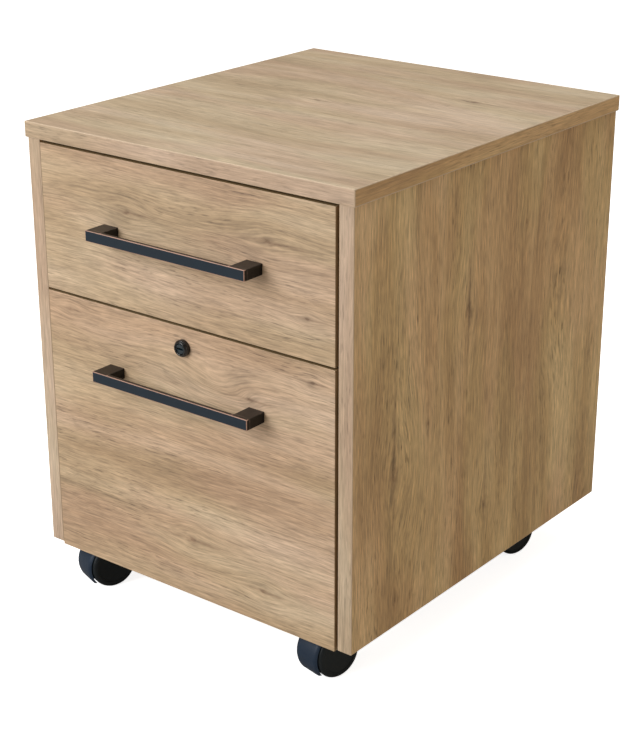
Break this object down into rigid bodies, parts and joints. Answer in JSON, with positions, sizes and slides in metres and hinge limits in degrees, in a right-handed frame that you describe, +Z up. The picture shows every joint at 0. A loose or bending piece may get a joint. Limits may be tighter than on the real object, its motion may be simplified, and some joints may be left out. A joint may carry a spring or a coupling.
{
  "type": "rolling pedestal cabinet",
  "caption": "Oak-look rolling pedestal cabinet: a box drawer over a locking file drawer on ball-bearing slides, on hooded twin-wheel swivel casters.",
  "frame": {"origin": "middle of the cabinet's outline on the floor, between the handles' front faces and the back edge of the top", "axes": "+Z up, -Y towards the user, +X to the user's right when they face the drawers"},
  "size_m": [0.404, 0.4836, 0.506],
  "materials": {
    "oak_laminate": "satin oak-look melamine with matching edge band",
    "box_laminate": "matte off-white melamine",
    "bronze_black": "satin black with copper showing along the edges",
    "lock_black": "gloss black",
    "black_nylon": "matte moulded",
    "zinc_steel": "zinc plated",
    "bearing_retainer": "moulded, with steel balls"
  },
  "bodies": {
    "carcass": {"top_panel": "oak_laminate", "left_side_panel": "oak_laminate", "right_side_panel": "oak_laminate", "back_panel": "oak_laminate", "bottom_panel": "oak_laminate", "mid_rail": "oak_laminate", "carcass_cam_locks": "zinc_steel", "carcass_cam_dowels": "zinc_steel", "lock_strike": "zinc_steel", "carcass_screws": "zinc_steel", "slide_outer_members": "zinc_steel", "caster_plates": "zinc_steel", "caster_swivel_pins": "zinc_steel", "caster_plate_screws": "zinc_steel"},
    "upper_drawer": {"upper_front": "oak_laminate", "upper_left_side": "box_laminate", "upper_right_side": "box_laminate", "upper_back": "box_laminate", "upper_floor": "box_laminate", "upper_handle": "bronze_black", "upper_handle_screws": "zinc_steel", "upper_fittings": "zinc_steel", "upper_slide_inner_members": "zinc_steel", "upper_slide_screws": "zinc_steel"},
    "lower_drawer": {"lower_front": "oak_laminate", "lower_left_side": "box_laminate", "lower_right_side": "box_laminate", "lower_back": "box_laminate", "lower_floor": "box_laminate", "lower_handle": "bronze_black", "lower_handle_screws": "zinc_steel", "lower_fittings": "zinc_steel", "lower_slide_inner_members": "zinc_steel", "lower_slide_screws": "zinc_steel", "file_rails": "zinc_steel", "lock_housing": "lock_black", "lock_nut": "zinc_steel"},
    "lock_core": {"lock_plug": "lock_black", "lock_cam": "zinc_steel", "lock_cam_screw": "zinc_steel"},
    "upper_slide_middle": {"upper_slide_middle_members": "zinc_steel", "upper_slide_bearings": "bearing_retainer"},
    "lower_slide_middle": {"lower_slide_middle_members": "zinc_steel", "lower_slide_bearings": "bearing_retainer"},
    "front_left_caster": {"front_left_caster_body": "black_nylon", "front_left_caster_axle": "zinc_steel"},
    "front_left_inner_wheel": {"front_left_inner_wheel": "black_nylon"},
    "front_left_outer_wheel": {"front_left_outer_wheel": "black_nylon"},
    "front_right_caster": {"front_right_caster_body": "black_nylon", "front_right_caster_axle": "zinc_steel"},
    "front_right_inner_wheel": {"front_right_inner_wheel": "black_nylon"},
    "front_right_outer_wheel": {"front_right_outer_wheel": "black_nylon"},
    "rear_left_caster": {"rear_left_caster_body": "black_nylon", "rear_left_caster_axle": "zinc_steel"},
    "rear_left_inner_wheel": {"rear_left_inner_wheel": "black_nylon"},
    "rear_left_outer_wheel": {"rear_left_outer_wheel": "black_nylon"},
    "rear_right_caster": {"rear_right_caster_body": "black_nylon", "rear_right_caster_axle": "zinc_steel"},
    "rear_right_inner_wheel": {"rear_right_inner_wheel": "black_nylon"},
    "rear_right_outer_wheel": {"rear_right_outer_wheel": "black_nylon"}
  },
  "joints": [
    {"name": "upper_drawer_slide", "type": "slide", "parent": "carcass", "child": "upper_drawer", "axis": [0, -1, 0], "range_m": [0, 0.38]},
    {"name": "upper_middle_slide", "type": "slide", "parent": "carcass", "child": "upper_slide_middle", "axis": [0, -1, 0], "range_m": [0, 0.19]},
    {"name": "lower_drawer_slide", "type": "slide", "parent": "carcass", "child": "lower_drawer", "axis": [0, -1, 0], "range_m": [0, 0.38]},
    {"name": "lower_middle_slide", "type": "slide", "parent": "carcass", "child": "lower_slide_middle", "axis": [0, -1, 0], "range_m": [0, 0.19]},
    {"name": "lock_turn", "type": "hinge", "parent": "lower_drawer", "child": "lock_core", "pos_m": [0, -0.21625, 0.316], "axis": [0, -1, 0], "range_deg": [0, 90]},
    {"name": "front_left_swivel", "type": "hinge", "parent": "carcass", "child": "front_left_caster", "pos_m": [-0.1495, -0.16225, 0.06], "axis": [0, 0, 1], "continuous": true},
    {"name": "front_left_inner_wheel_spin", "type": "hinge", "parent": "front_left_caster", "child": "front_left_inner_wheel", "pos_m": [-0.15551, -0.17922, 0.025], "axis": [0.9426, -0.3338, 0], "continuous": true},
    {"name": "front_left_outer_wheel_spin", "type": "hinge", "parent": "front_left_caster", "child": "front_left_outer_wheel", "pos_m": [-0.15551, -0.17922, 0.025], "axis": [0.9426, -0.3338, 0], "continuous": true},
    {"name": "front_right_swivel", "type": "hinge", "parent": "carcass", "child": "front_right_caster", "pos_m": [0.1495, -0.16225, 0.06], "axis": [0, 0, 1], "continuous": true},
    {"name": "front_right_inner_wheel_spin", "type": "hinge", "parent": "front_right_caster", "child": "front_right_inner_wheel", "pos_m": [0.1456, -0.17982, 0.025], "axis": [0.9763, -0.2164, 0], "continuous": true},
    {"name": "front_right_outer_wheel_spin", "type": "hinge", "parent": "front_right_caster", "child": "front_right_outer_wheel", "pos_m": [0.1456, -0.17982, 0.025], "axis": [0.9763, -0.2164, 0], "continuous": true},
    {"name": "rear_left_swivel", "type": "hinge", "parent": "carcass", "child": "rear_left_caster", "pos_m": [-0.1495, 0.16475, 0.06], "axis": [0, 0, 1], "continuous": true},
    {"name": "rear_left_inner_wheel_spin", "type": "hinge", "parent": "rear_left_caster", "child": "rear_left_inner_wheel", "pos_m": [-0.15682, 0.14831, 0.025], "axis": [0.9135, -0.4067, 0], "continuous": true},
    {"name": "rear_left_outer_wheel_spin", "type": "hinge", "parent": "rear_left_caster", "child": "rear_left_outer_wheel", "pos_m": [-0.15682, 0.14831, 0.025], "axis": [0.9135, -0.4067, 0], "continuous": true},
    {"name": "rear_right_swivel", "type": "hinge", "parent": "carcass", "child": "rear_right_caster", "pos_m": [0.1495, 0.16475, 0.06], "axis": [0, 0, 1], "continuous": true},
    {"name": "rear_right_inner_wheel_spin", "type": "hinge", "parent": "rear_right_caster", "child": "rear_right_inner_wheel", "pos_m": [0.14484, 0.14736, 0.025], "axis": [0.9659, -0.2588, 0], "continuous": true},
    {"name": "rear_right_outer_wheel_spin", "type": "hinge", "parent": "rear_right_caster", "child": "rear_right_outer_wheel", "pos_m": [0.14484, 0.14736, 0.025], "axis": [0.9659, -0.2588, 0], "continuous": true}
  ],
  "couplings": [
    {"joint": "upper_middle_slide", "follows": "upper_drawer_slide", "ratio": 0.5},
    {"joint": "lower_middle_slide", "follows": "lower_drawer_slide", "ratio": 0.5}
  ]
}
